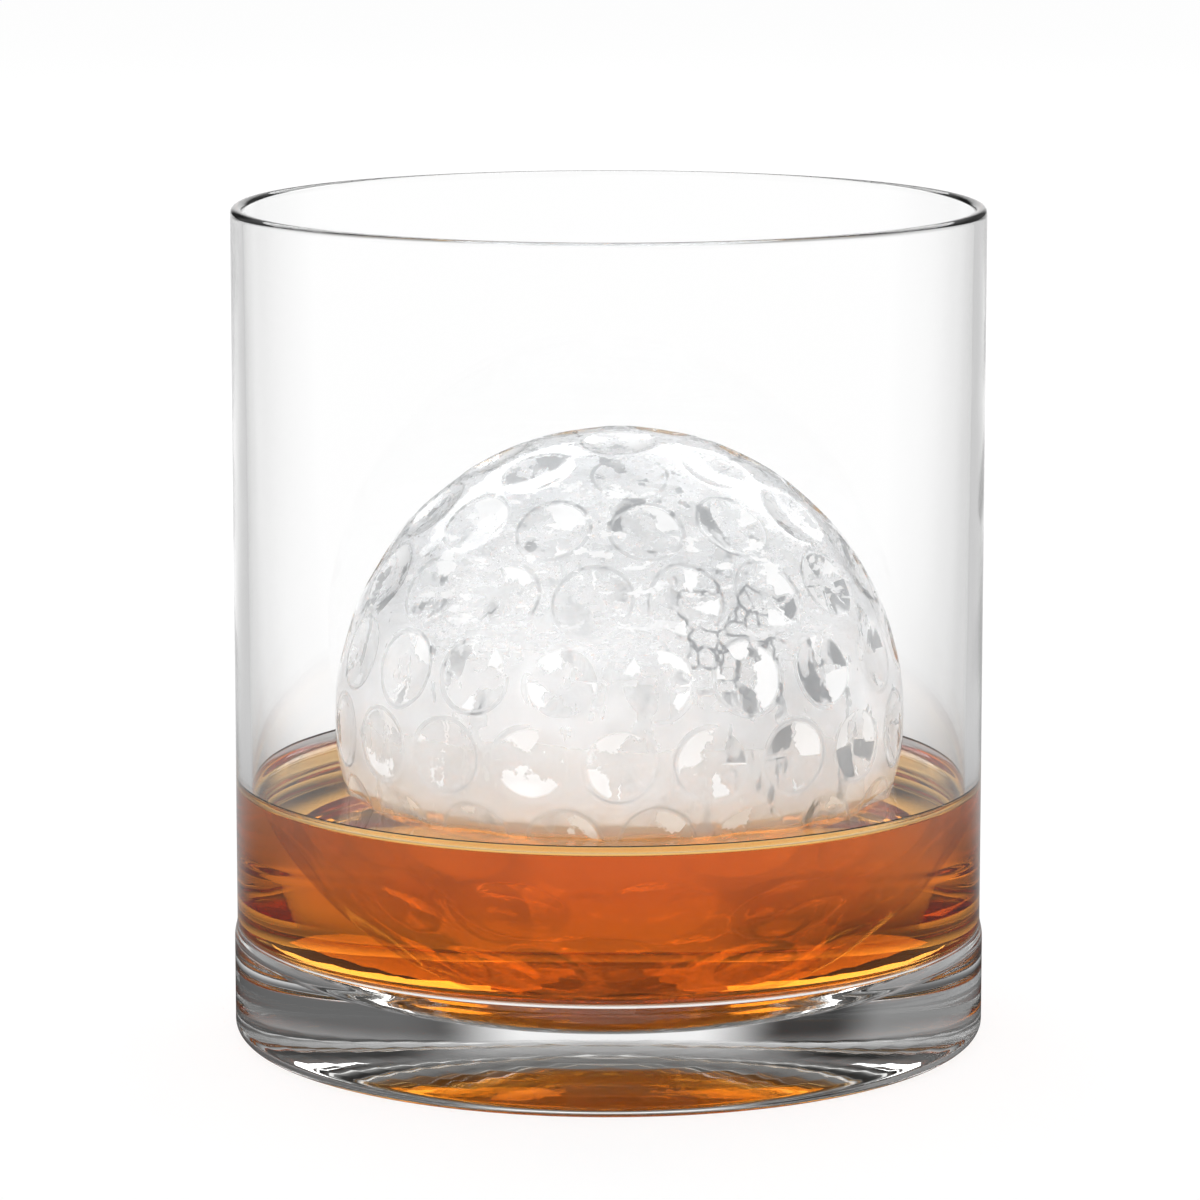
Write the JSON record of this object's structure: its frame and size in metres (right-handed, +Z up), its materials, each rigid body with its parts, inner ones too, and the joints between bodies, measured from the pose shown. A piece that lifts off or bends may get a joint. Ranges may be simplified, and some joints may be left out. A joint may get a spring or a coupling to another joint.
{
  "type": "rocks glass with golf ball ice",
  "caption": "Straight-walled clear tumbler holding an amber drink and a dimpled, golf-ball-shaped ball of ice, clear around a white cloud, that turns with the drink and lifts out of the mouth.",
  "frame": {"origin": "middle of the foot, on the surface that the tumbler stands on", "axes": "+Z up along the tumbler's axis, -Y towards the picture's camera, +X to its right"},
  "size_m": [0.0836, 0.0836, 0.0925],
  "materials": {
    "clear_glass": "fire-polished clear glass",
    "amber_drink": "clear amber liquid",
    "ice": "wet clear ice with white fractures",
    "cloudy_ice": "white ice full of fine bubbles"
  },
  "bodies": {
    "tumbler": {"tumbler": "clear_glass"},
    "drink": {"drink": "amber_drink"},
    "ice_ball": {"ice_ball": "ice", "ice_cloud": "cloudy_ice"}
  },
  "joints": [
    {"name": "drink_swirl", "type": "hinge", "parent": "tumbler", "child": "drink", "pos_m": [0, 0, 0.0279], "axis": [0, 0, 1], "continuous": true},
    {"name": "ball_lift", "type": "slide", "parent": "drink", "child": "ice_ball", "axis": [0, 0, 1], "range_m": [0, 0.095], "deforming": ["drink"]}
  ]
}
